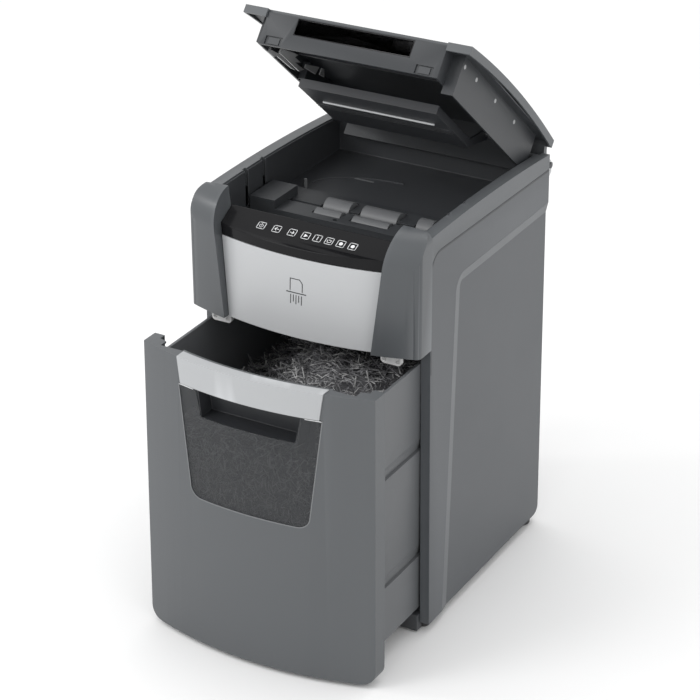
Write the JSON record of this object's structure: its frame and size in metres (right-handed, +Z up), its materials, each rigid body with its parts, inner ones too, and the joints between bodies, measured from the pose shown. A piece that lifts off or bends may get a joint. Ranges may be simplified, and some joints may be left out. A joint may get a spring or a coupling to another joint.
{
  "type": "paper shredder",
  "caption": "Auto-feed paper shredder with a hinged domed lid over its sheet tray and a bow-fronted pull-out bin with a smoked window.",
  "frame": {"origin": "under the middle of the whole object's box at rest, on the floor that the feet stand on", "axes": "+Z up, the bin pulls out towards -Y, +X to the right of a person who faces the front"},
  "size_m": [0.348, 0.5444, 0.8024],
  "materials": {
    "body_grey": "fine satin texture",
    "dark_grey": "satin",
    "silver": "satin silver paint",
    "gloss_black": "high gloss",
    "black_plastic": "satin",
    "smoked_window": "clear smoked, polished",
    "steel": "zinc plated",
    "cutter_steel": "ground and hardened",
    "bronze": "sintered",
    "motor_metal": "satin",
    "gear_plastic": "natural nylon",
    "roller_rubber": "matt",
    "board_green": "solder mask",
    "catch_white": "satin",
    "rocker_red": "gloss"
  },
  "bodies": {
    "cabinet": {"base_plate": "dark_grey", "feet": "black_plastic", "left_side_panel": "body_grey", "right_side_panel": "body_grey", "rear_panel": "body_grey", "top_frame": "body_grey", "left_cheek": "body_grey", "right_cheek": "body_grey", "silver_fascia": "silver", "control_panel": "gloss_black", "control_board": "board_green", "head_base": "steel", "paper_tray": "dark_grey", "feed_housing": "dark_grey", "left_head_plate": "steel", "right_head_plate": "steel", "tie_rods": "steel", "cutter_bushes": "bronze", "front_stripper": "dark_grey", "rear_stripper": "dark_grey", "paper_chute": "dark_grey", "gear_axles": "steel", "motor_case": "motor_metal", "power_board": "board_green", "mains_inlet": "black_plastic", "power_switch": "black_plastic", "bin_catches": "catch_white", "bin_runners": "dark_grey", "hinge_brackets": "steel", "cabinet_screws": "steel"},
    "lid": {"lid_shell": "body_grey", "lid_liner": "dark_grey", "lid_grip": "gloss_black", "hinge_pins": "steel", "lid_screws": "catch_white", "lid_magnets": "steel", "plate_springs": "steel"},
    "paper_press": {"pressure_plate": "dark_grey", "plate_rod": "silver"},
    "bin": {"bin_box": "body_grey", "bin_front": "body_grey", "bin_handle": "silver", "bin_window": "smoked_window", "bin_cup": "dark_grey"},
    "rear_cutter_roll": {"rear_cutter": "cutter_steel", "rear_cutter_gear": "steel"},
    "front_cutter_roll": {"front_cutter": "cutter_steel", "front_cutter_gear": "steel"},
    "front_idler": {"front_idler_gear": "gear_plastic"},
    "rear_idler": {"rear_idler_gear": "gear_plastic"},
    "front_feed": {"front_feed_shaft": "steel", "front_feed_rollers": "roller_rubber", "front_feed_gear": "gear_plastic"},
    "rear_feed": {"rear_feed_shaft": "steel", "rear_feed_rollers": "roller_rubber", "rear_feed_gear": "gear_plastic"},
    "reduction": {"reduction_gear": "gear_plastic"},
    "motor_stage": {"motor_gear": "gear_plastic"},
    "rotor": {"motor_rotor": "motor_metal"},
    "rocker": {"power_rocker": "rocker_red"}
  },
  "joints": [
    {"name": "lid_hinge", "type": "hinge", "parent": "cabinet", "child": "lid", "pos_m": [0, 0.26242, 0.555], "axis": [1, 0, 0], "range_deg": [0, 38.8]},
    {"name": "bin_slide", "type": "slide", "parent": "cabinet", "child": "bin", "axis": [0, -1, 0], "range_m": [-0.118, 0.17]},
    {"name": "press_hinge", "type": "hinge", "parent": "lid", "child": "paper_press", "pos_m": [0, 0.19116, 0.61323], "axis": [-1, 0, 0], "range_deg": [0, 11.7]},
    {"name": "rocker_tilt", "type": "hinge", "parent": "cabinet", "child": "rocker", "pos_m": [-0.07, 0.24841, 0.462], "axis": [1, 0, 0], "range_deg": [-18, 0]},
    {"name": "rear_cutter_turn", "type": "hinge", "parent": "cabinet", "child": "rear_cutter_roll", "pos_m": [0, 0.04442, 0.47], "axis": [1, 0, 0], "continuous": true},
    {"name": "front_cutter_turn", "type": "hinge", "parent": "cabinet", "child": "front_cutter_roll", "pos_m": [0, 0.00842, 0.47], "axis": [1, 0, 0], "continuous": true},
    {"name": "front_idler_turn", "type": "hinge", "parent": "cabinet", "child": "front_idler", "pos_m": [0, 0.00078, 0.50518], "axis": [1, 0, 0], "continuous": true},
    {"name": "rear_idler_turn", "type": "hinge", "parent": "cabinet", "child": "rear_idler", "pos_m": [0, 0.0528, 0.50501], "axis": [1, 0, 0], "continuous": true},
    {"name": "front_feed_turn", "type": "hinge", "parent": "cabinet", "child": "front_feed", "pos_m": [0, 0.01141, 0.53], "axis": [1, 0, 0], "continuous": true},
    {"name": "rear_feed_turn", "type": "hinge", "parent": "cabinet", "child": "rear_feed", "pos_m": [0, 0.04041, 0.529], "axis": [1, 0, 0], "continuous": true},
    {"name": "reduction_turn", "type": "hinge", "parent": "cabinet", "child": "reduction", "pos_m": [0, 0.07248, 0.46505], "axis": [1, 0, 0], "continuous": true},
    {"name": "motor_stage_turn", "type": "hinge", "parent": "cabinet", "child": "motor_stage", "pos_m": [0, 0.10957, 0.4771], "axis": [1, 0, 0], "continuous": true},
    {"name": "rotor_turn", "type": "hinge", "parent": "cabinet", "child": "rotor", "pos_m": [0, 0.15324, 0.46622], "axis": [1, 0, 0], "continuous": true}
  ],
  "couplings": [
    {"joint": "press_hinge", "follows": "lid_hinge", "ratio": 0.3},
    {"joint": "front_cutter_turn", "follows": "rear_cutter_turn", "ratio": -1},
    {"joint": "front_idler_turn", "follows": "rear_cutter_turn", "ratio": 1},
    {"joint": "rear_idler_turn", "follows": "rear_cutter_turn", "ratio": -1},
    {"joint": "front_feed_turn", "follows": "rear_cutter_turn", "ratio": -2},
    {"joint": "rear_feed_turn", "follows": "rear_cutter_turn", "ratio": 2},
    {"joint": "reduction_turn", "follows": "rear_cutter_turn", "ratio": -1.7143},
    {"joint": "motor_stage_turn", "follows": "rear_cutter_turn", "ratio": 5.7143},
    {"joint": "rotor_turn", "follows": "rear_cutter_turn", "ratio": -22.857}
  ]
}
